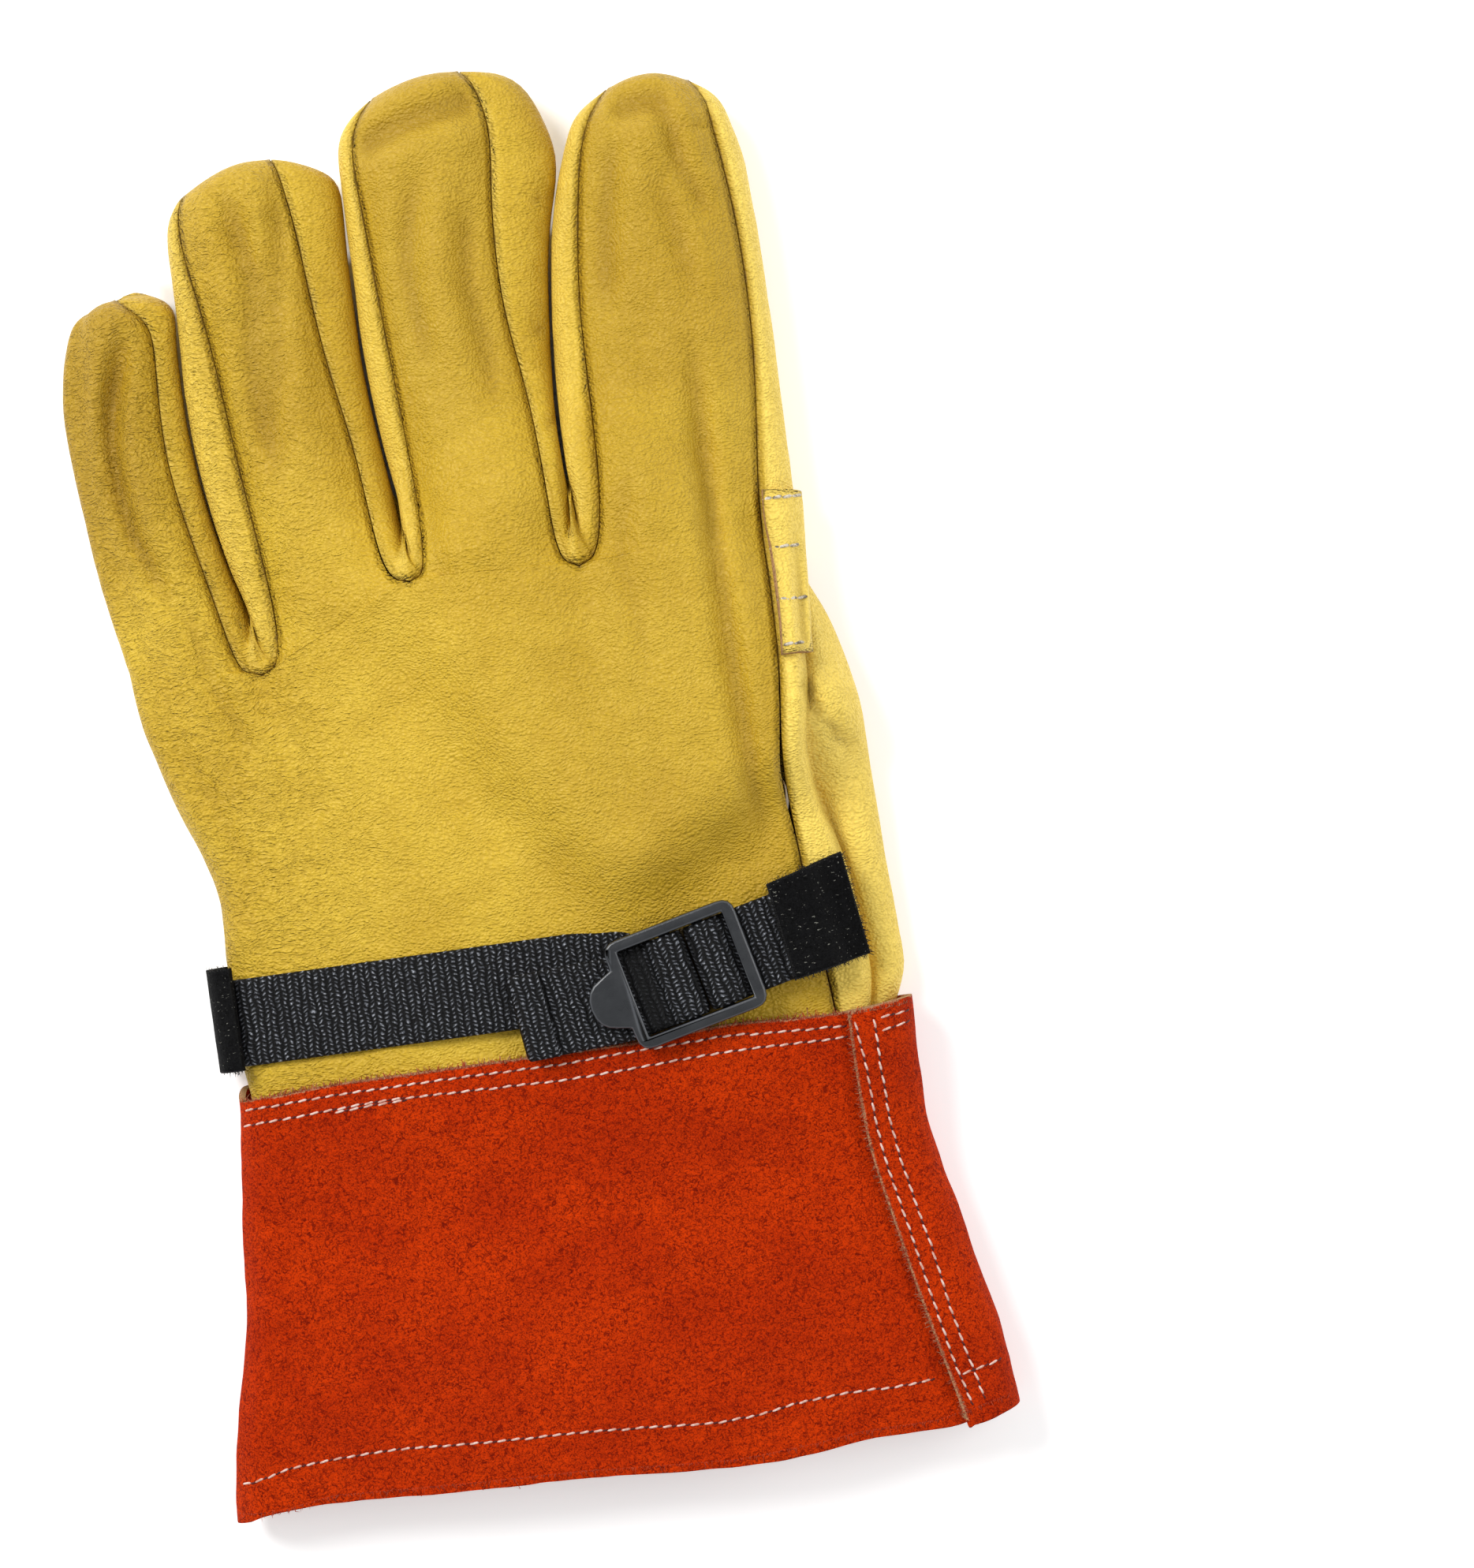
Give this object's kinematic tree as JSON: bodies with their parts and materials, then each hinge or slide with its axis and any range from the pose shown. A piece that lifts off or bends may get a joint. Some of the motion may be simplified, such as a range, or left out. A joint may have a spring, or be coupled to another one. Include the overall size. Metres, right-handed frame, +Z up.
{
  "type": "leather protector glove",
  "caption": "Left-hand leather protector glove of golden grain leather with a flared orange suede cuff and a buckled wrist strap, lying flat with the back of the hand up.",
  "frame": {"origin": "centre of the outline at the height of the surface that the glove lies on", "axes": "+Y from the cuff to the fingertips, +X to the thumb side, +Z up out of the back of the hand"},
  "size_m": [0.1768, 0.3092, 0.0275],
  "materials": {
    "grain_leather": "golden yellow grain leather with a fine pebble",
    "orange_suede": "orange-red suede with a short nap",
    "black_suede": "black suede",
    "nylon_webbing": "black woven nylon webbing",
    "black_plastic": "satin black plastic"
  },
  "bodies": {
    "root": {"hand_leather": "grain_leather", "fourchette_little_ring": "grain_leather", "fourchette_ring_middle": "grain_leather", "fourchette_middle_index": "grain_leather", "thumb": "grain_leather", "palm_patch": "grain_leather", "wrist_tongue": "grain_leather", "cuff": "orange_suede", "strap": "nylon_webbing", "strap_anchor": "nylon_webbing", "buckle": "black_plastic", "keeper_thumb_side": "black_suede", "keeper_little_side": "black_suede"}
  },
  "joints": []
}
